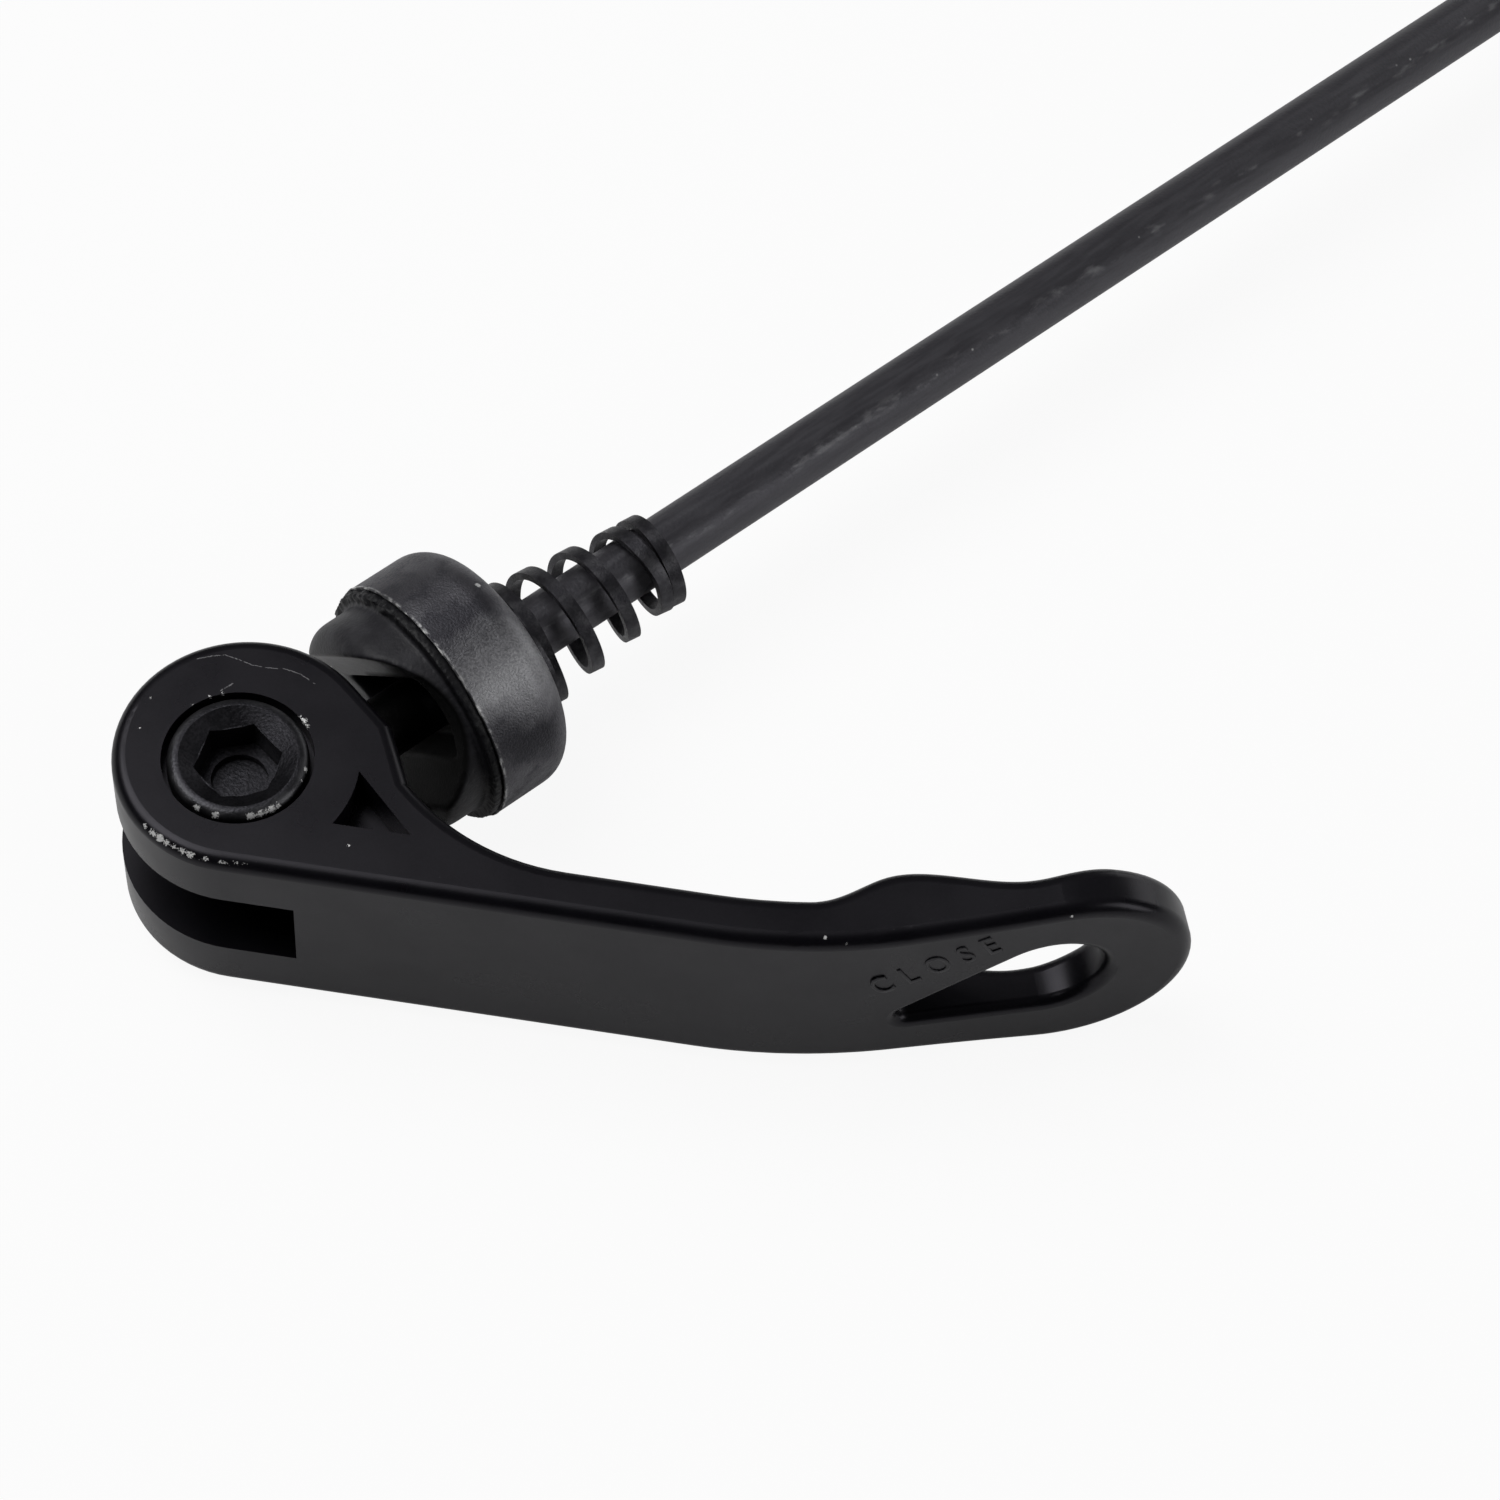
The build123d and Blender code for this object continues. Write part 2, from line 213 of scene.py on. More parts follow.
# Wear of the lever and its pin: angle in degrees and size of each chip
ear_chip_sizes = {
    -176: 0.8,
    -171: 1.3,
    -167: 1.5,
    -163: 1.0,
    -159: 0.7,
    -155: 1.1,
    -151: 1.2,
    -144: 0.8,
    -136: 0.5,
    -121: 0.7,
}
seat_chip_sizes = {-4: 1.2, -9: 0.9, 1: 0.6, 65: 0.6, 75: 0.7, 89: 0.5}
seat_radius = 5.75
pin_chip_sizes = {
    -162: 1.2,
    -145: 1.3,
    -116: 1.4,
    -112: 0.9,
    -107: 1.2,
    -102: 0.8,
    -97: 1.3,
    -91: 0.8,
    -49: 0.9,
    -60: 0.5,
}
pin_chip_radius = 5.12
pin_chip_height = 9.1
pin_rim_radius = 5.0
pin_rim_height = 9.2

# Wavering scratch on the ear, along and across the lever from the pivot in mm
scratch_waves = (
    (-4.7, 7.97),
    (-3.65, 8.42),
    (-2.71, 8.68),
    (-1.52, 8.43),
    (-0.55, 8.15),
    (0.68, 8.10),
    (1.95, 8.23),
    (3.14, 7.99),
    (4.42, 7.31),
)

# Wear of the rod and the cap in mm; the rod's scuff line and the cap's rubbed place are partly painted
# highlights, and the rod's cam end is painted shade
# Scuffed line along the rod, partly a painted highlight on its lit side: its place across the rod and
# its width
scuff_and_highlight_line = (-1.41, 2.06)
scuff_and_highlight_width = 0.9
# Painted shade on the rod's cam end fades in from the first place to the second along the rod
end_shade_from = -78.0
end_shade_to = -81.0
# Rubbed place on the cap, partly a painted highlight
cap_rubbed_and_highlight_run = (Vector((-78.2, -6.2, 8.3)), Vector((-74.8, -6.0, 8.4)), 1.0)
cap_dull_runs = [
    (Vector((-79.0, -1.2, 10.3)), Vector((-74.5, -2.6, 9.8)), 1.0),
    (Vector((-77.5, -9.9, 3.2)), Vector((-75.6, -9.7, 3.6)), 0.6),
]
cap_stain_run = (Vector((-79.0, -8.5, 6.0)), Vector((-77.9, -9.6, 3.9)), 1.0)
cap_spot_at = Vector((-74.0, 0.84, 10.0))

# Painted shade in the saddle's hollow and on its flange, in mm, with the saddle square to the lever
hollow_side = (4.3, 3.7)
hollow_corner = (4.4, 3.8)
corner_slant = (0, 0.707, -0.707)
pocket_reach = (7.6, 7.2)
pad_skin = (0.45, 0.1)
flange_reach = (9.3, 9.6)


def direction(azimuth, elevation):
    """Unit vector from the object towards a place at that azimuth and elevation in degrees."""
    a = math.radians(azimuth)
    e = math.radians(elevation)
    return Vector((math.sin(a) * math.cos(e), -math.cos(a) * math.cos(e), math.sin(e)))


def heading(degrees):
    """Unit vector in the floor's plane, turned from +X."""
    a = math.radians(degrees)
    return Vector((math.cos(a), math.sin(a), 0))


# Camera, floor and lamps


def add_camera():
    """Camera at the photo's viewing angle."""
    data = bpy.data.cameras.new("photo_camera")
    data.lens = view_lens
    data.sensor_width = view_sensor
    data.clip_start = 10 * mm
    data.clip_end = 20.0
    camera = bpy.data.objects.new("photo_camera", data)
    bpy.context.scene.collection.objects.link(camera)
    back = direction(view_azimuth, view_elevation)
    level = (-back).to_track_quat("-Z", "Y")
    camera.rotation_mode = "QUATERNION"
    camera.rotation_quaternion = level @ Quaternion((0, 0, 1), math.radians(view_roll))
    camera.location = view_aim + back * view_distance
    bpy.context.scene.camera = camera


def softbox(name, azimuth, elevation, distance, width, height, watts):
    """Soft rectangular lamp aimed at the object."""
    data = bpy.data.lights.new(name, "AREA")
    data.shape = "RECTANGLE"
    data.size = width
    data.size_y = height
    data.energy = watts
    lamp = bpy.data.objects.new(name, data)
    bpy.context.scene.collection.objects.link(lamp)
    towards = direction(azimuth, elevation)
    lamp.location = view_aim + towards * distance
    lamp.rotation_mode = "QUATERNION"
    lamp.rotation_quaternion = (-towards).to_track_quat("-Z", "Y")


def add(tree, kind, inputs=None, **settings):
    """Add a shader node with its settings; an input is a value or a socket to link from."""
    made = tree.nodes.new("ShaderNode" + kind)
    for name, value in settings.items():
        setattr(made, name, value)
    for key, value in (inputs or {}).items():
        if isinstance(value, bpy.types.NodeSocket):
            tree.links.new(value, made.inputs[key])
        else:
            made.inputs[key].default_value = value
    return made


def add_world():
    """Dark studio room with one pale side of the ceiling."""
    world = bpy.data.worlds.new("studio_room")
    world.use_nodes = True
    tree = world.node_tree
    background = tree.nodes["Background"]
    where = add(tree, "TexCoord")
    facing = add(
        tree,
        "VectorMath",
        {0: where.outputs["Generated"], 1: room_pale_towards},
        operation="DOT_PRODUCT",
    )
    ramp = add(tree, "ValToRGB", {"Fac": facing.outputs["Value"]})
    tree.links.new(ramp.outputs["Color"], background.inputs["Color"])
    dark, pale = ramp.color_ramp.elements
    dark.position = room_dark_from
    dark.color = room_dark
    pale.position = room_pale_from
    pale.color = room_pale
    bpy.context.scene.world = world


def floor_material():
    """White floor that keeps a soft shadow: part glow, part lit surface."""
    material = bpy.data.materials.new("white_floor")
    material.use_nodes = True
    tree = material.node_tree
    tree.nodes.clear()
    output = add(tree, "OutputMaterial")
    lit = add(tree, "BsdfDiffuse", {"Color": (floor_white, floor_white, floor_white, 1)})
    glow = add(tree, "Emission")
    path = add(tree, "LightPath")
    seen = add(tree, "Math", {0: path.outputs["Is Camera Ray"], 1: glow_seen}, operation="MULTIPLY")
    other = add(
        tree,
        "Math",
        {0: path.outputs["Is Glossy Ray"], 1: path.outputs["Is Transmission Ray"]},
        operation="MAXIMUM",
    )
    mirrored = add(tree, "Math", {0: other.outputs["Value"], 1: glow_mirrored}, operation="MULTIPLY")
    share = add(
        tree, "Math", {0: seen.outputs["Value"], 1: mirrored.outputs["Value"]}, operation="MAXIMUM"
    )
    mix = add(
        tree,
        "MixShader",
        {"Fac": share.outputs["Value"], 1: lit.outputs["BSDF"], 2: glow.outputs["Emission"]},
    )
    tree.links.new(mix.outputs["Shader"], output.inputs["Surface"])
    return material


def add_floor():
    """Round white floor under the part."""
    bpy.ops.mesh.primitive_circle_add(
        vertices=floor_sides, radius=floor_radius, fill_type="NGON", location=(0, 0, cad_box[0].z)
    )
    floor = bpy.context.object
    floor.name = "floor"
    floor.data.materials.append(floor_material())


# Shared surface effects


def new_group(name, inputs, outputs):
    """Empty shader node group with named sockets: its tree, the sockets to read and the ones to feed."""
    tree = bpy.data.node_groups.new(name, "ShaderNodeTree")
    for label, kind, value in inputs:
        socket = tree.interface.new_socket(label, in_out="INPUT", socket_type="NodeSocket" + kind)
        socket.default_value = value
    for label, kind in outputs:
        tree.interface.new_socket(label, in_out="OUTPUT", socket_type="NodeSocket" + kind)
    given = tree.nodes.new("NodeGroupInput").outputs
    result = tree.nodes.new("NodeGroupOutput").inputs
    return tree, given, result


def place(tree, group, inputs):
    """Place a group in a material with its own values."""
    made = tree.nodes.new("ShaderNodeGroup")
    made.node_tree = group
    for key, value in inputs.items():
        if isinstance(value, bpy.types.NodeSocket):
            tree.links.new(value, made.inputs[key])
        else:
            made.inputs[key].default_value = value
    return made.outputs


def clouds_group():
    """Soft patches: noise between two levels, 0 outside and 1 inside the patches."""
    tree, given, result = new_group(
        "soft_patches",
        [
            ("Place", "Vector", (0, 0, 0)),
            ("Size", "Float", 2.0),
            ("Detail", "Float", 3.0),
            ("Low", "Float", 0.4),
            ("High", "Float", 0.6),
        ],
        [("Mask", "Float")],
    )
    scale = add(tree, "Math", {0: 1.0, 1: given["Size"]}, operation="DIVIDE")
    noise = add(
        tree,
        "TexNoise",
        {"Vector": given["Place"], "Scale": scale.outputs["Value"], "Detail": given["Detail"]},
    )
    step = add(
        tree,
        "MapRange",
        {"Value": noise.outputs["Fac"], "From Min": given["Low"], "From Max": given["High"]},
        interpolation_type="SMOOTHSTEP",
    )
    tree.links.new(step.outputs["Result"], result["Mask"])
    return tree


def specks_group():
    """Sparse specks of dust or bare spots: a share of scattered cells gets a small dot."""
    tree, given, result = new_group(
        "specks",
        [
            ("Place", "Vector", (0, 0, 0)),
            ("Spacing", "Float", 1.0),
            ("Dot", "Float", 0.15),
            ("Share", "Float", 0.3),
        ],
        [("Mask", "Float")],
    )
    scale = add(tree, "Math", {0: 1.0, 1: given["Spacing"]}, operation="DIVIDE")
    cells = add(tree, "TexVoronoi", {"Vector": given["Place"], "Scale": scale.outputs["Value"]})
    dot = add(
        tree,
        "MapRange",
        {"Value": cells.outputs["Distance"], "From Min": given["Dot"], "From Max": 0.0},
        interpolation_type="SMOOTHSTEP",
    )
    draw = add(tree, "SeparateColor", {"Color": cells.outputs["Color"]})
    kept = add(
        tree, "Math", {0: draw.outputs["Red"], 1: given["Share"]}, operation="LESS_THAN"
    )
    mask = add(
        tree, "Math", {0: dot.outputs["Result"], 1: kept.outputs["Value"]}, operation="MULTIPLY"
    )
    tree.links.new(mask.outputs["Value"], result["Mask"])
    return tree


def mark_group():
    """Ragged mark round a short run between two points, added over the marks before it.

    With both points the same it is a chip, otherwise a scratch.
    """
    tree, given, result = new_group(
        "worn_mark",
        [
            ("Under", "Float", 0.0),
            ("Place", "Vector", (0, 0, 0)),
            ("From", "Vector", (0, 0, 0)),
            ("To", "Vector", (0, 0, 0)),
            ("Width", "Float", 0.3),
            ("Ragged", "Float", 0.25),
            ("Grain", "Float", 0.14),
            ("Core", "Float", 0.35),
            ("Breaks", "Float", 0.0),
        ],
        [("Mask", "Float")],
    )
    scale = add(tree, "Math", {0: 1.0, 1: given["Grain"]}, operation="DIVIDE")
    noise = add(
        tree, "TexNoise", {"Vector": given["Place"], "Scale": scale.outputs["Value"], "Detail": 2.0}
    )
    centred = add(
        tree, "VectorMath", {0: noise.outputs["Color"], 1: (0.5, 0.5, 0.5)}, operation="SUBTRACT"
    )
    shift = add(
        tree, "VectorMath", {0: centred.outputs["Vector"], "Scale": given["Ragged"]}, operation="SCALE"
    )
    point = add(
        tree, "VectorMath", {0: given["Place"], 1: shift.outputs["Vector"]}, operation="ADD"
    )
    away = add(
        tree, "VectorMath", {0: point.outputs["Vector"], 1: given["From"]}, operation="SUBTRACT"
    )
    run = add(tree, "VectorMath", {0: given["To"], 1: given["From"]}, operation="SUBTRACT")
    along = add(
        tree,
        "VectorMath",
        {0: away.outputs["Vector"], 1: run.outputs["Vector"]},
        operation="DOT_PRODUCT",
    )
    whole = add(
        tree,
        "VectorMath",
        {0: run.outputs["Vector"], 1: run.outputs["Vector"]},
        operation="DOT_PRODUCT",
    )
    part = add(
        tree,
        "Math",
        {0: along.outputs["Value"], 1: whole.outputs["Value"]},
        operation="DIVIDE",
        use_clamp=True,
    )
    foot = add(
        tree,
        "VectorMath",
        {0: run.outputs["Vector"], "Scale": part.outputs["Value"]},
        operation="SCALE",
    )
    gap = add(
        tree,
        "VectorMath",
        {0: away.outputs["Vector"], 1: foot.outputs["Vector"]},
        operation="DISTANCE",
    )
    inner = add(tree, "Math", {0: given["Width"], 1: given["Core"]}, operation="MULTIPLY")
    outer = add(tree, "Math", {0: given["Width"], 1: mark_reach}, operation="MULTIPLY")
    mask = add(
        tree,
        "MapRange",
        {
            "Value": gap.outputs["Value"],
            "From Min": outer.outputs["Value"],
            "From Max": inner.outputs["Value"],
        },
    )
    wander = add(
        tree, "TexNoise", {"Vector": given["Place"], "Scale": break_scale, "Detail": 3.0}
    )
    solid = add(tree, "Math", {0: given["Breaks"], 1: break_edge}, operation="ADD")
    kept = add(
        tree,
        "MapRange",
        {
            "Value": wander.outputs["Fac"],
            "From Min": given["Breaks"],
            "From Max": solid.outputs["Value"],
        },
    )
    broken = add(
        tree, "Math", {0: mask.outputs["Result"], 1: kept.outputs["Result"]}, operation="MULTIPLY"
    )
    total = add(
        tree, "Math", {0: given["Under"], 1: broken.outputs["Value"]}, operation="MAXIMUM"
    )
    tree.links.new(total.outputs["Value"], result["Mask"])
    return tree


def ring_group():
    """Band round a circle about an axis: 1 at that radius and place, fading with distance."""
    tree, given, result = new_group(
        "ring_band",
        [
            ("Across", "Float", 0.0),
            ("Along", "Float", 0.0),
            ("Radius", "Float", 1.0),
            ("At", "Float", 0.0),
            ("Width", "Float", 0.3),
        ],
        [("Mask", "Float")],
    )
    out = add(tree, "Math", {0: given["Across"], 1: given["Radius"]}, operation="SUBTRACT")
    down = add(tree, "Math", {0: given["Along"], 1: given["At"]}, operation="SUBTRACT")
    both = add(tree, "CombineXYZ", {"X": out.outputs["Value"], "Y": down.outputs["Value"]})
    far = add(tree, "VectorMath", {0: both.outputs["Vector"]}, operation="LENGTH")
    near = add(
        tree,
        "MapRange",
        {"Value": far.outputs["Value"], "From Min": given["Width"], "From Max": 0.0},
        interpolation_type="SMOOTHSTEP",
    )
    tree.links.new(near.outputs["Result"], result["Mask"])
    return tree


soft_patches = clouds_group()
specks = specks_group()
worn_mark = mark_group()
ring_band = ring_group()


# Finishes


def finish(name, roughness=None, specular=0.5):
    """New material with its shader's constants; returns the material, tree, shader and place in mm."""
    material = bpy.data.materials.new(name)
    material.use_nodes = True
    tree = material.node_tree
    shader = tree.nodes["Principled BSDF"]
    shader.inputs["Specular IOR Level"].default_value = specular
    if roughness is not None:
        shader.inputs["Roughness"].default_value = roughness
    where = add(tree, "TexCoord")
    size = add(tree, "VectorMath", {0: where.outputs["Object"], "Scale": 1 / mm}, operation="SCALE")
    return material, tree, shader, size.outputs["Vector"]


def blend(tree, mask, below, above):
    """Colour that goes from below to above with the mask; each is a colour or a socket."""
    mix = add(tree, "Mix", data_type="RGBA")
    colours = [socket for socket in mix.inputs if socket.type == "RGBA"]
    tree.links.new(mask, mix.inputs["Factor"])
    for socket, colour in zip(colours, (below, above)):
        if isinstance(colour, bpy.types.NodeSocket):
            tree.links.new(colour, socket)
        else:
            socket.default_value = (*colour, 1)
    return [socket for socket in mix.outputs if socket.type == "RGBA"][0]


def between(tree, mask, low, high):
    """Number that goes from low to high with the mask."""
    step = add(tree, "MapRange", {"Value": mask, "To Min": low, "To Max": high})
    return step.outputs["Result"]


def relief(tree, shader, height, depth_mm):
    """Bump of that depth on the shader's normal."""
    bump = add(tree, "Bump", {"Height": height, "Distance": depth_mm * mm})
    tree.links.new(bump.outputs["Normal"], shader.inputs["Normal"])


def patches(tree, position, size, low, high, detail=3.0):
    """Mask of soft patches of that size in mm."""
    values = {"Place": position, "Size": size, "Detail": detail, "Low": low, "High": high}
    return place(tree, soft_patches, values)["Mask"]


def scatter(tree, position, spacing, dot, share):
    """Mask of sparse specks, with their spacing in mm."""
    values = {"Place": position, "Spacing": spacing, "Dot": dot, "Share": share}
    return place(tree, specks, values)["Mask"]


def band(tree, across, along, radius, at, width):
    """Mask of a band at that radius and place, with its width in mm."""
    values = {"Across": across, "Along": along, "Radius": radius, "At": at, "Width": width}
    return place(tree, ring_band, values)["Mask"]


def fade(tree, value, start, end):
    """Mask that goes from 0 at the start to 1 at the end."""
    step = add(tree, "MapRange", {"Value": value, "From Min": start, "From Max": end})
    return step.outputs["Result"]


def times(tree, first, second):
    """Product of two masks."""
    return add(tree, "Math", {0: first, 1: second}, operation="MULTIPLY").outputs["Value"]


def marks_along(tree, position, points, width, ragged, under=0.0, breaks=0.0, grain=0.14, core=0.35):
    """Chips at single points, or scratch runs between the points of a pair; returns the mask.

    The core is the share of the width that is wholly marked; a small one fades softly.
    """
    mask = under
    for start, end, scale in points:
        values = {
            "Under": mask,
            "Place": position,
            "From": start,
            "To": end,
            "Width": width * scale,
            "Ragged": ragged,
            "Breaks": breaks,
            "Grain": grain,
            "Core": core,
        }
        mask = place(tree, worn_mark, values)["Mask"]
    return mask


def ear_edge_point(angle):
    """Point on the rounded top edge of the ear, at an angle about the cam's centre."""
    cam_centre = pivot_mm + heading(cam_offset_angle) * cam_offset
    inset = ear_round * (1 - math.cos(math.radians(45)))
    point = cam_centre + heading(angle) * (ear_radius - inset)
    point.z = ear_top - inset
    return point


def around_pin(radius, angle, height):
    """Point at that radius, angle and height round the pivot pin."""
    point = pivot_mm + heading(angle) * radius
    point.z = height
    return point


def paddle_point(along, out, height):
    """Point by its distance along the paddle, out of its front and up, from the pivot."""
    ahead = heading(paddle_heading)
    point = pivot_mm + ahead * along + Vector((ahead.y, -ahead.x, 0)) * out
    point.z = height
    return point


def chip(point, scale):
    """Chip at one point."""
    return (point, point, scale)


def runs(points, scale):
    """Scratch runs that join the points one after another."""
    return [(start, end, scale) for start, end in zip(points, points[1:])]


def worn_line():
    """Thin rubbed line along the ear's top edge."""
    edge = [ear_edge_point(angle) for angle in range(-176, -116, 10)]
    return runs(edge, 1.0)


def lever_chips():
    """Chips along the ear's edge and round the pin's seat."""
    chips = [chip(ear_edge_point(angle), scale) for angle, scale in ear_chip_sizes.items()]
    for angle, scale in seat_chip_sizes.items():
        chips.append(chip(around_pin(seat_radius, angle, pin_chip_height), scale))
    return chips


def lever_scratches():
    """Wavering scratch on the ear and a nick beside the pin."""
    along = heading(lever_heading)
    up = heading(lever_heading + 90)
    scratch = []
    for x, y in scratch_waves:
        point = pivot_mm + along * x + up * y
        point.z = ear_top
        scratch.append(point)
    nick = [around_pin(6.5, 57, ear_top), around_pin(6.0, 66, ear_top)]
    return runs(scratch, 0.36) + runs(nick, 0.5)


def lever_edge_specks():
    """Small bare specks on the paddle's top edge and the ear."""
    return [
        chip(paddle_point(along=40.6, out=20.9, height=9.1), scale=0.7),
        chip(paddle_point(along=42.1, out=21.5, height=8.8), scale=0.5),
        chip(paddle_point(along=58.9, out=21.9, height=9.5), scale=0.5),
        chip(around_pin(radius=8.43, angle=104, height=ear_top), scale=0.5),
        chip(around_pin(radius=7.72, angle=123, height=ear_top), scale=0.4),
        chip(around_pin(radius=11.2, angle=-80, height=ear_top), scale=0.6),
    ]


def paint_finish(name, worn):
    """Gloss black paint with a fine grain; where worn, bare alloy shows in its chips."""
    material, tree, shader, position = finish(name, specular=0.25)
    shader.inputs["Specular Tint"].default_value = paint_sheen
    grain = patches(tree, position, size=0.16, low=0.3, high=0.7)
    cloud = patches(tree, position, size=5.0, low=0.3, high=0.7)
    dust = scatter(tree, position, spacing=0.9, dot=0.07, share=0.16)
    colour = blend(tree, grain, paint_dark, paint_pale)
    colour = blend(tree, dust, colour, paint_dust)
    if worn:
        mask = marks_along(tree, position, lever_chips(), width=0.42, ragged=0.7)
        mask = marks_along(
            tree, position, worn_line(), width=0.2, ragged=0.55, under=mask, breaks=0.52
        )
        mask = marks_along(
            tree, position, lever_edge_specks(), width=0.4, ragged=0.4, under=mask
        )
        scratches = marks_along(
            tree, position, lever_scratches(), width=0.2, ragged=0.16, breaks=0.38
        )
        colour = blend(tree, scratches, colour, paint_scratch)
        colour = blend(tree, mask, colour, bare_alloy)
        tree.links.new(between(tree, mask, low=0.0, high=0.3), shader.inputs["Metallic"])
        relief(tree, shader, times(tree, mask, -1.0), depth_mm=0.02)
    tree.links.new(colour, shader.inputs["Base Color"])
    tree.links.new(between(tree, cloud, low=0.27, high=0.34), shader.inputs["Roughness"])
    return material


def around_axis(tree, position, centre, axis):
    """Distance from an axis and place along it, for bands round a turned piece."""
    moved = add(tree, "VectorMath", {0: position, 1: centre}, operation="SUBTRACT")
    split = add(tree, "SeparateXYZ", {"Vector": moved.outputs["Vector"]})
    first, second = {"X": ("Y", "Z"), "Z": ("X", "Y")}[axis]
    flat = add(tree, "CombineXYZ", {"X": split.outputs[first], "Y": split.outputs[second]})
    far = add(tree, "VectorMath", {0: flat.outputs["Vector"]}, operation="LENGTH")
    return far.outputs["Value"], split.outputs[axis]


def oxide_finish():
    """Black oxide of the pin: rubbed grey along the rim, partly a painted highlight on its rounded edge,
    with bright nicks.
    """
    material, tree, shader, position = finish("black_oxide")
    across, along = around_axis(tree, position, pivot_mm, "Z")
    grain = patches(tree, position, size=0.22, low=0.25, high=0.75)
    cloud = patches(tree, position, size=2.2, low=0.35, high=0.65)
    rim = band(tree, across, along, radius=pin_rim_radius, at=pin_rim_height, width=0.55)
    # Rubbed grey on the rim, partly a painted highlight on its rounded edge
    rubbed_and_lit = times(tree, rim, between(tree, cloud, low=0.35, high=1.0))
    nicks = []
    for angle, scale in pin_chip_sizes.items():
        nicks.append(chip(around_pin(pin_chip_radius, angle, pin_chip_height), scale))
    mask = marks_along(tree, position, nicks, width=0.46, ragged=0.7)
    colour = blend(tree, grain, oxide_dark, oxide_pale)
    colour = blend(tree, rubbed_and_lit, colour, oxide_rubbed_and_highlight)
    colour = blend(tree, mask, colour, bare_pin)
    tree.links.new(colour, shader.inputs["Base Color"])
    tree.links.new(between(tree, mask, low=0.9, high=0.4), shader.inputs["Metallic"])
    tree.links.new(between(tree, cloud, low=0.36, high=0.48), shader.inputs["Roughness"])
    low = add(tree, "Math", {0: grain, 1: mask}, operation="SUBTRACT")
    relief(tree, shader, low.outputs["Value"], depth_mm=0.012)
    return material


def rod_finish():
    """Dull dark drawn steel: streaks along the rod, a scuffed line on top that is partly a painted
    highlight, and painted shade that turns the cam end near black.
    """
    material, tree, shader, position = finish("dark_rod_steel")
    shader.inputs["Metallic"].default_value = 0.7
    drawn = add(tree, "Mapping", {"Vector": position, "Scale": (0.12, 1, 1)}).outputs["Vector"]
    streak = patches(tree, drawn, size=0.5, low=0.35, high=0.65, detail=4.0)
    grain = patches(tree, position, size=0.3, low=0.3, high=0.7)
    split = add(tree, "SeparateXYZ", {"Vector": position})
    # Scuffed line along the rod, partly a painted highlight on its lit band
    side, height = scuff_and_highlight_line
    line = band(
        tree, split.outputs["Y"], split.outputs["Z"], radius=side, at=height, width=scuff_and_highlight_width
    )
    rubbed_and_lit = add(tree, "Mapping", {"Vector": position, "Scale": (0.35, 1, 1)}).outputs["Vector"]
    line_breakup = patches(tree, rubbed_and_lit, size=0.8, low=0.5, high=0.72, detail=5.0)
    spots = scatter(tree, position, spacing=0.8, dot=0.2, share=0.12)
    # Painted shade: the cam end goes near black
    painted_shade = fade(tree, split.outputs["X"], end_shade_from, end_shade_to)
    colour = blend(tree, streak, rod_dark, rod_pale)
    colour = blend(tree, times(tree, line, line_breakup), colour, rod_scuff_and_highlight)
    colour = blend(tree, times(tree, line, spots), colour, rod_fleck)
    colour = blend(tree, painted_shade, colour, rod_end_shade)
    tree.links.new(colour, shader.inputs["Base Color"])
    tree.links.new(between(tree, streak, low=0.44, high=0.5), shader.inputs["Roughness"])
    relief(tree, shader, grain, depth_mm=0.01)
    return material


def cap_finish():
    """Dark satin drawn steel: cloudy patches, a rubbed speckled place in front that is partly a painted
    highlight, and a bright rim.
    """
    material, tree, shader, position = finish("dark_cap_steel")
    shader.inputs["Metallic"].default_value = 0.85
    low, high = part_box("pressure_cap")
    rim_x = low.x / mm
    radius = (high.z - low.z) / 2 / mm
    across, along = around_axis(tree, position, Vector((0, 0, 0)), "X")
    cloud = patches(tree, position, size=4.5, low=0.4, high=0.62, detail=2.0)
    blotch = patches(tree, position, size=1.6, low=0.46, high=0.66, detail=4.0)
    grain = patches(tree, position, size=0.18, low=0.35, high=0.65)
    burr = patches(tree, position, size=0.7, low=0.42, high=0.6)
    edge = band(tree, across, along, radius=radius, at=rim_x, width=0.3)
    dull = marks_along(tree, position, cap_dull_runs, width=5.0, ragged=2.4, grain=1.2)
    dull = times(tree, dull, between(tree, cloud, low=1.0, high=0.6))
    # Rubbed speckled place, partly a painted highlight
    rubbed_and_lit = marks_along(
        tree, position, [cap_rubbed_and_highlight_run], width=9.4, ragged=2.2, grain=1.1, core=0.06
    )
    rubbed_and_lit = times(tree, rubbed_and_lit, between(tree, grain, low=0.6, high=1.0))
    stain = marks_along(
        tree, position, [cap_stain_run], width=4.6, ragged=1.6, grain=0.9, core=0.12
    )
    stain = times(tree, stain, between(tree, grain, low=0.75, high=0.95))
    spot = marks_along(tree, position, [chip(cap_spot_at, 1.0)], width=0.5, ragged=0.3)
    colour = blend(tree, cloud, cap_dark, cap_pale)
    colour = blend(tree, blotch, colour, cap_blotch)
    colour = blend(tree, dull, colour, cap_dull)
    colour = blend(tree, rubbed_and_lit, colour, cap_rubbed_and_highlight)
    colour = blend(tree, stain, colour, cap_stain)
    colour = blend(tree, times(tree, edge, burr), colour, cap_edge)
    colour = blend(tree, spot, colour, cap_spot)
    tree.links.new(colour, shader.inputs["Base Color"])
    tree.links.new(between(tree, grain, low=0.42, high=0.54), shader.inputs["Roughness"])
    relief(tree, shader, grain, depth_mm=0.012)
    return material


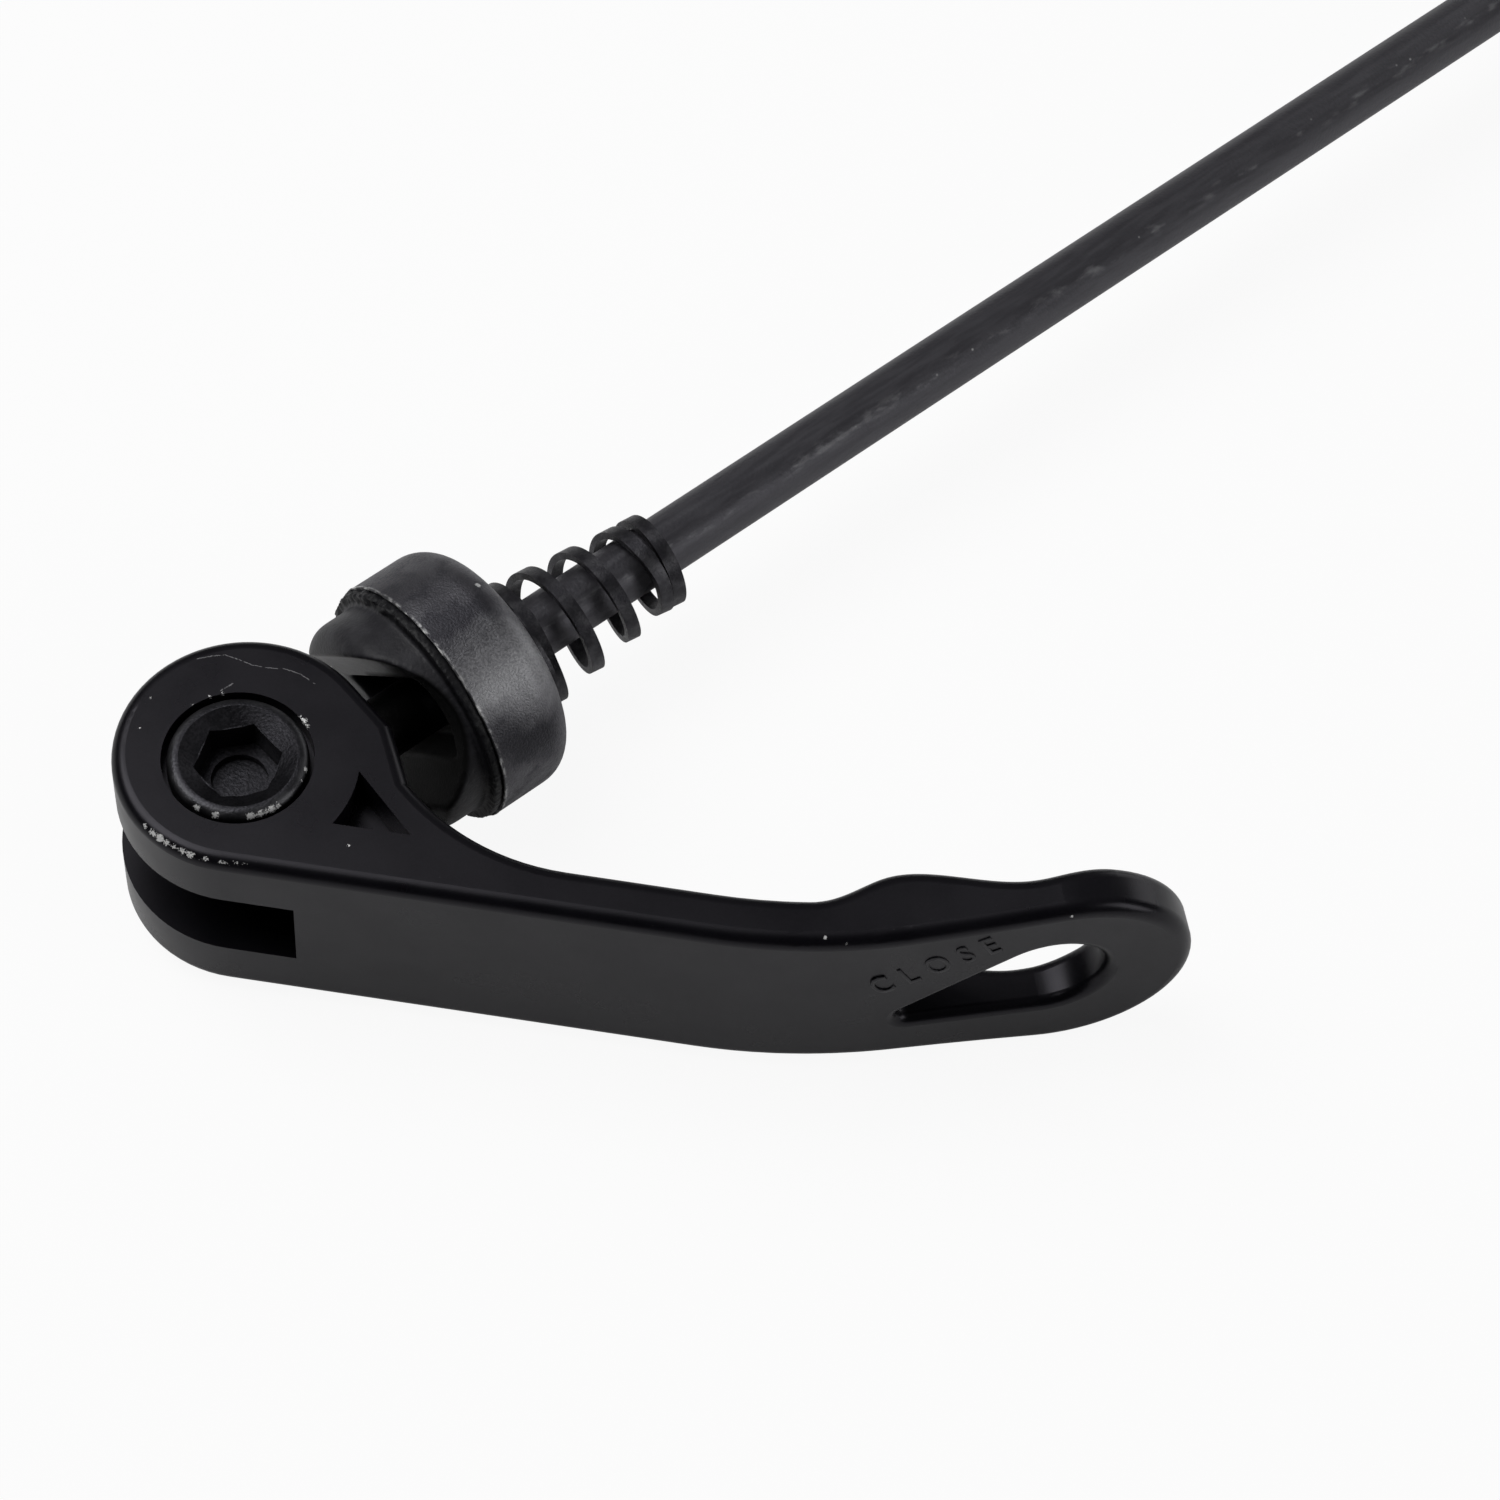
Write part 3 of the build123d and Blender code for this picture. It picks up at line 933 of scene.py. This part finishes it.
def hollow_shade_masks(tree, position, axis_x):
    """Masks of the painted shade in the saddle's hollow and on its flange, from the pad's axis."""
    turned_back = (-math.radians(saddle_turn), 0, 0)
    square = add(tree, "Mapping", {"Vector": position, "Rotation": turned_back}).outputs["Vector"]
    sideways = add(tree, "SeparateXYZ", {"Vector": square})
    slanted = add(tree, "VectorMath", {0: square, 1: corner_slant}, operation="DOT_PRODUCT")
    hollow = times(
        tree,
        fade(tree, sideways.outputs["Y"], *hollow_side),
        fade(tree, slanted.outputs["Value"], *hollow_corner),
    )
    across = around_axis(tree, square, Vector((axis_x, 0, 0)), "Z")[0]
    out = around_axis(tree, position, Vector((0, 0, 0)), "X")[0]
    outer, inner = pad_skin
    on_pad = fade(tree, across, pad_radius + outer, pad_radius + inner)
    inside = fade(tree, out, *pocket_reach)
    black = add(tree, "Math", {0: on_pad, 1: inside}, operation="MAXIMUM").outputs["Value"]
    return times(tree, black, hollow), fade(tree, out, *flange_reach)


def nylon_finish(name, dark, pale, pad_axis=None):
    """Moulded black nylon, lightly scuffed; on a saddle, painted shade turns the hollow and the flange
    near black.
    """
    material, tree, shader, position = finish(name, specular=0.2)
    cloud = patches(tree, position, size=1.8, low=0.4, high=0.7, detail=4.0)
    grain = patches(tree, position, size=0.25, low=0.3, high=0.7)
    dust = scatter(tree, position, spacing=0.8, dot=0.08, share=0.12)
    colour = blend(tree, cloud, dark, pale)
    colour = blend(tree, dust, colour, nylon_dust)
    if pad_axis is None:
        rough = between(tree, cloud, low=0.34, high=0.5)
    else:
        # Painted shade: the hollow and the flange go near black, and the hollow is rougher
        painted_shade, flange_shade = hollow_shade_masks(tree, position, pad_axis)
        colour = blend(tree, flange_shade, colour, saddle_flange_shade)
        colour = blend(tree, painted_shade, colour, saddle_hollow_shade)
        rough = between(tree, painted_shade, low=0.45, high=0.7)
    tree.links.new(colour, shader.inputs["Base Color"])
    tree.links.new(rough, shader.inputs["Roughness"])
    relief(tree, shader, grain, depth_mm=0.012)
    return material


def wire_finish():
    """Black finished spring wire with greyer rubbed patches."""
    material, tree, shader, position = finish("black_spring_wire")
    shader.inputs["Metallic"].default_value = 0.9
    cloud = patches(tree, position, size=1.2, low=0.4, high=0.7, detail=4.0)
    grain = patches(tree, position, size=0.15, low=0.3, high=0.7)
    tree.links.new(blend(tree, cloud, wire_dark, wire_pale), shader.inputs["Base Color"])
    tree.links.new(between(tree, grain, low=0.36, high=0.5), shader.inputs["Roughness"])
    relief(tree, shader, grain, depth_mm=0.008)
    return material


def nut_finish():
    """Satin black alloy of the nut."""
    material, tree, shader, position = finish("satin_black_alloy", specular=0.35)
    cloud = patches(tree, position, size=3.0, low=0.35, high=0.65)
    grain = patches(tree, position, size=0.15, low=0.3, high=0.7)
    dust = scatter(tree, position, spacing=0.9, dot=0.07, share=0.15)
    colour = blend(tree, grain, nut_dark, nut_pale)
    colour = blend(tree, dust, colour, nut_dust)
    tree.links.new(colour, shader.inputs["Base Color"])
    tree.links.new(between(tree, cloud, low=0.36, high=0.46), shader.inputs["Roughness"])
    relief(tree, shader, grain, depth_mm=0.01)
    return material


def burr_finish():
    """Bare steel burr on the cap's rim, bright in places."""
    material, tree, shader, position = finish("bare_rim_steel", roughness=0.45)
    shader.inputs["Metallic"].default_value = 0.6
    patch = patches(tree, position, size=1.4, low=0.45, high=0.62, detail=4.0)
    tree.links.new(blend(tree, patch, burr_dark, burr_bright), shader.inputs["Base Color"])
    return material


def dress(piece, material):
    """Give a node or piece its finish."""
    piece.data.materials.clear()
    piece.data.materials.append(material)


# Pieces


def begin(name):
    """Name the new active object and put its place into its mesh."""
    piece = bpy.context.object
    piece.name = name
    bpy.ops.object.transform_apply(location=True, rotation=True, scale=True)
    return piece


def pick(test):
    """Select the vertices of the edited mesh that pass the test."""
    mesh = bmesh.from_edit_mesh(bpy.context.edit_object.data)
    bpy.ops.mesh.select_all(action="DESELECT")
    for vertex in mesh.verts:
        vertex.select = test(vertex.co)
    mesh.select_flush(True)
    bmesh.update_edit_mesh(bpy.context.edit_object.data)


def cut_across(x):
    """Cut the edited mesh square to the rod at x."""
    bpy.ops.mesh.select_all(action="SELECT")
    bpy.ops.mesh.bisect(plane_co=(x, 0, 0), plane_no=(1, 0, 0))


def apply_modifier(piece, kind, **settings):
    """Add a modifier with its settings and apply it."""
    bpy.context.view_layer.objects.active = piece
    modifier = piece.modifiers.new(kind.lower(), kind)
    for name, value in settings.items():
        setattr(modifier, name, value)
    bpy.ops.object.modifier_apply(modifier=modifier.name)


def drop(piece):
    """Remove a helper object."""
    bpy.data.objects.remove(piece, do_unlink=True)


def round_bar(name, start, end, radius):
    """Cylinder along the rod's axis from start to end."""
    bpy.ops.mesh.primitive_cylinder_add(
        vertices=rod_sides,
        radius=radius,
        depth=end - start,
        location=((start + end) / 2, 0, 0),
        rotation=(0, math.pi / 2, 0),
    )
    return begin(name)


def chamfer_end(end, depth, factor):
    """Narrow the far end of the edited bar."""
    cut_across(end - depth)
    pick(lambda co: co.x > end - depth / 2)
    bpy.ops.transform.resize(value=(1, factor, factor), center_override=(end, 0, 0))


def thread_ridge(start, end, crest):
    """Helical ridge of the thread, trimmed to the rod's outside and its end chamfer."""
    foot = (thread_root - thread_foot_sink) * mm
    bpy.ops.mesh.primitive_plane_add(
        size=1, location=(start, 0, (foot + crest) / 2), rotation=(math.pi / 2, 0, 0)
    )
    ridge = bpy.context.object
    ridge.scale = (thread_foot_width * mm, crest - foot, 1)
    begin("thread_ridge")
    bpy.ops.object.mode_set(mode="EDIT")
    pick(lambda co: co.z > (foot + crest) / 2)
    narrow = thread_crest_width / thread_foot_width
    bpy.ops.transform.resize(value=(narrow, 1, 1), center_override=(start, 0, crest))
    bpy.ops.mesh.select_all(action="SELECT")
    bpy.ops.mesh.delete(type="ONLY_FACE")
    bpy.ops.object.mode_set(mode="OBJECT")
    turns = math.ceil((end - start) / (thread_pitch * mm))
    apply_modifier(
        ridge,
        "SCREW",
        axis="X",
        screw_offset=thread_pitch * mm,
        iterations=turns,
        steps=rod_sides,
        render_steps=rod_sides,
    )
    bpy.ops.object.mode_set(mode="EDIT")
    bpy.ops.mesh.select_all(action="SELECT")
    bpy.ops.mesh.fill_holes(sides=8)
    bpy.ops.mesh.select_all(action="SELECT")
    bpy.ops.mesh.normals_make_consistent(inside=False)
    bpy.ops.object.mode_set(mode="OBJECT")
    return ridge


def threaded_rod():
    """Rod with a plain shank and a rolled thread at the nut's end."""
    low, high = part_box("skewer_rod")
    crest = (high.z - low.z) / 2
    end = high.x
    start = end - thread_length * mm
    chamfer = thread_chamfer * mm
    rod = round_bar("threaded_rod", low.x, end, crest)
    bpy.ops.object.mode_set(mode="EDIT")
    cut_across(start)
    cut_across(start + thread_run_out * mm)
    root = thread_root * mm / crest
    pick(lambda co: co.x > start + thread_run_out * mm / 2)
    bpy.ops.transform.resize(value=(1, root, root), center_override=(end, 0, 0))
    chamfer_end(end, chamfer / 4, core_end_narrowing)
    bpy.ops.object.mode_set(mode="OBJECT")
    ridge = thread_ridge(start, end + thread_pitch * mm, crest)
    first_crest = start + thread_run_out * mm / 3
    envelope = round_bar("thread_envelope", first_crest, end, crest * thread_trim_ease)
    bpy.ops.object.mode_set(mode="EDIT")
    chamfer_end(end, chamfer, 1 - chamfer / crest)
    bpy.ops.object.mode_set(mode="OBJECT")
    apply_modifier(ridge, "BOOLEAN", operation="INTERSECT", object=envelope, solver="EXACT")
    apply_modifier(rod, "BOOLEAN", operation="UNION", object=ridge, solver="EXACT")
    drop(ridge)
    drop(envelope)
    bpy.ops.object.select_all(action="DESELECT")
    rod.select_set(True)
    bpy.context.view_layer.objects.active = rod
    bpy.ops.object.shade_smooth_by_angle(angle=math.radians(rod_smooth_angle))
    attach(rod, "skewer")
    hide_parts("skewer_rod")
    return rod


def raised_word():
    """Raised word on the paddle's front, sloping with the slot."""
    along = heading(paddle_heading)
    up = Vector((0, 0, 1))
    out = along.cross(up)
    aim = pivot + along * word_at * mm + up * word_height * mm
    front = nodes["lever"].ray_cast(aim + out * word_probe * mm, -out)[1]
    bpy.ops.object.text_add()
    text = bpy.context.object
    text.data.body = word
    text.data.align_x = "CENTER"
    text.data.align_y = "CENTER"
    text.data.size = letter_size
    text.data.space_character = letter_spacing
    text.data.extrude = letter_raise
    text.data.bevel_depth = letter_edge
    text.data.bevel_resolution = 2
    bpy.ops.object.convert(target="MESH")
    turn = Matrix.Rotation(math.radians(word_slope), 4, "Z")
    narrow = Matrix.Diagonal((letter_narrow * mm, mm, mm, 1))
    face = Matrix((along, up, out)).transposed().to_4x4()
    bpy.context.object.matrix_world = Matrix.Translation(front) @ face @ turn @ narrow
    letters = begin("close_word")
    bpy.ops.object.mode_set(mode="EDIT")
    bpy.ops.mesh.select_all(action="SELECT")
    bpy.ops.mesh.remove_doubles(threshold=letter_weld * mm)
    bpy.ops.mesh.normals_make_consistent(inside=False)
    bpy.ops.object.mode_set(mode="OBJECT")
    bpy.ops.object.shade_smooth_by_angle(angle=math.radians(letter_smooth_angle))
    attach(letters, "lever")
    return letters


def cloud_texture(name, size):
    """Procedural noise for a displacement, with features of that size in mm."""
    texture = bpy.data.textures.new(name, "CLOUDS")
    texture.noise_scale = size * mm
    texture.noise_depth = 2
    return texture


def roughen(piece, name, size, depth, group=""):
    """Push the surface in and out by a noise of that size and depth in mm."""
    apply_modifier(
        piece,
        "DISPLACE",
        texture=cloud_texture(name, size),
        texture_coords="LOCAL",
        strength=depth * mm,
        mid_level=0.5,
        vertex_group=group,
    )


def cut_out(piece, cutter):
    """Cut one shape out of a piece and drop the cutter."""
    apply_modifier(piece, "BOOLEAN", operation="DIFFERENCE", object=cutter, solver="EXACT")
    drop(cutter)


def join_on(piece, other):
    """Join another shape onto a piece."""
    apply_modifier(piece, "BOOLEAN", operation="UNION", object=other, solver="EXACT")
    drop(other)


def place_group(piece, name, test):
    """Vertex group of the points that pass the test."""
    group = piece.vertex_groups.new(name=name)
    group.add([vertex.index for vertex in piece.data.vertices if test(vertex.co)], 1.0, "REPLACE")


def on_rim(co):
    """Whether a point lies out on the saddle's flange."""
    return math.hypot(co.y, co.z) > flange_inner * mm


def on_torn_side(co):
    """Whether a point lies on the side where the flange is torn."""
    return co.y > torn_side * mm and co.z > torn_height * mm


def torn_saddle():
    """Nylon saddle: two rounded horns, hollow pad, rod pocket and a thin flange torn on its far side."""
    low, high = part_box("cam_saddle")
    rim_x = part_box("pressure_cap")[0].x
    front_x = rim_x - flange_thickness * mm
    pad_x = low.x + pad_floor * mm
    saddle = round_bar("torn_saddle", low.x, rim_x, horn_radius * mm)
    bpy.ops.object.mode_set(mode="EDIT")
    pick(lambda co: co.x < low.x + saddle_margin * mm)
    bpy.ops.mesh.bevel(offset=horn_round * mm, segments=8, affect="EDGES")
    bpy.ops.object.mode_set(mode="OBJECT")
    join_on(saddle, round_bar("flange", front_x, rim_x, (high.z - low.z) / 2))
    spigot_start = rim_x - saddle_margin * mm
    join_on(saddle, round_bar("spigot", spigot_start, high.x, spigot_radius * mm))
    bpy.ops.mesh.primitive_cylinder_add(
        vertices=pad_sides,
        radius=pad_radius * mm,
        depth=3 * horn_radius * mm,
        location=(pad_x - pad_radius * mm, 0, 0),
    )
    cut_out(saddle, begin("pad_cutter"))
    bpy.ops.mesh.primitive_cube_add(size=1, location=(pad_x, 0, 0))
    bpy.context.object.scale = (
        2 * rod_pocket_depth * mm,
        rod_pocket_width * mm,
        rod_pocket_height * mm,
    )
    cut_out(saddle, begin("pocket_cutter"))
    cut_out(saddle, round_bar("hole_cutter", low.x, high.x + mm, rod_hole * mm))
    bpy.ops.mesh.primitive_cube_add(
        size=2 * horn_radius * mm,
        location=(low.x + (horn_worn - horn_radius) * mm, -horn_radius * mm, 0),
    )
    cut_out(saddle, begin("horn_cutter"))
    apply_modifier(saddle, "REMESH", mode="VOXEL", voxel_size=saddle_voxel * mm)
    bpy.ops.object.select_all(action="DESELECT")
    saddle.select_set(True)
    bpy.context.view_layer.objects.active = saddle
    saddle.rotation_euler.x = math.radians(saddle_turn)
    bpy.ops.object.transform_apply(location=True, rotation=True, scale=True)
    place_group(saddle, "horns", lambda co: co.x < front_x - horn_margin * mm)
    place_group(saddle, "flange", lambda co: on_rim(co) and co.x < rim_x - saddle_margin * mm)
    place_group(saddle, "torn", lambda co: on_rim(co) and co.x < rim_x and on_torn_side(co))
    apply_modifier(saddle, "SMOOTH", factor=0.5, iterations=3)
    apply_modifier(saddle, "SMOOTH", factor=0.5, iterations=saddle_softening, vertex_group="horns")
    roughen(saddle, "flange_tears", flange_tear_size, flange_tear, "torn")
    roughen(saddle, "flange_fray", flange_fray_size, flange_fray, "flange")
    bpy.ops.object.shade_smooth()
    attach(saddle, "cap")
    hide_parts("cam_saddle")
    return saddle


def rim_burr():
    """Thin wavy burr along the cap's cut rim."""
    low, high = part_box("pressure_cap")
    radius = (high.z - low.z) / 2
    bpy.ops.mesh.primitive_torus_add(
        major_radius=radius - burr_thickness * mm / 2,
        minor_radius=burr_thickness * mm,
        major_segments=burr_steps,
        minor_segments=burr_sides,
        location=(low.x, 0, 0),
        rotation=(0, math.pi / 2, 0),
    )
    burr = begin("rim_burr")
    roughen(burr, "burr_wave", burr_wave_size, burr_wave)
    bpy.ops.object.shade_smooth()
    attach(burr, "cap")
    return burr


paint = paint_finish("black_gloss_paint", worn=False)
spring_wire = wire_finish()
dress(nodes["lever"], paint_finish("chipped_gloss_paint", worn=True))
dress(nodes["pivot_pin"], oxide_finish())
dress(nodes["pressure_cap"], cap_finish())
dress(nodes["lever_spring"], spring_wire)
dress(nodes["nut_spring"], spring_wire)
dress(nodes["adjusting_nut"], nut_finish())
dress(nodes["nut_lock_ring"], nylon_finish("dark_ring_nylon", ring_dark, ring_pale))
dress(threaded_rod(), rod_finish())
dress(raised_word(), paint)
saddle_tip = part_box("cam_saddle")[0].x / mm
pad_axis_x = saddle_tip + pad_floor - pad_radius
saddle_nylon = nylon_finish("black_saddle_nylon", saddle_dark, saddle_pale, pad_axis=pad_axis_x)
dress(torn_saddle(), saddle_nylon)
dress(rim_burr(), burr_finish())

add_camera()
add_world()
add_floor()
softbox(
    "back_left_softbox", azimuth=-150, elevation=60, distance=0.8, width=0.6, height=0.6, watts=4.3
)
softbox(
    "front_right_softbox", azimuth=30, elevation=24, distance=0.7, width=0.25, height=0.45, watts=0.9
)
softbox("right_softbox", azimuth=95, elevation=8, distance=0.7, width=0.5, height=0.3, watts=0.57)
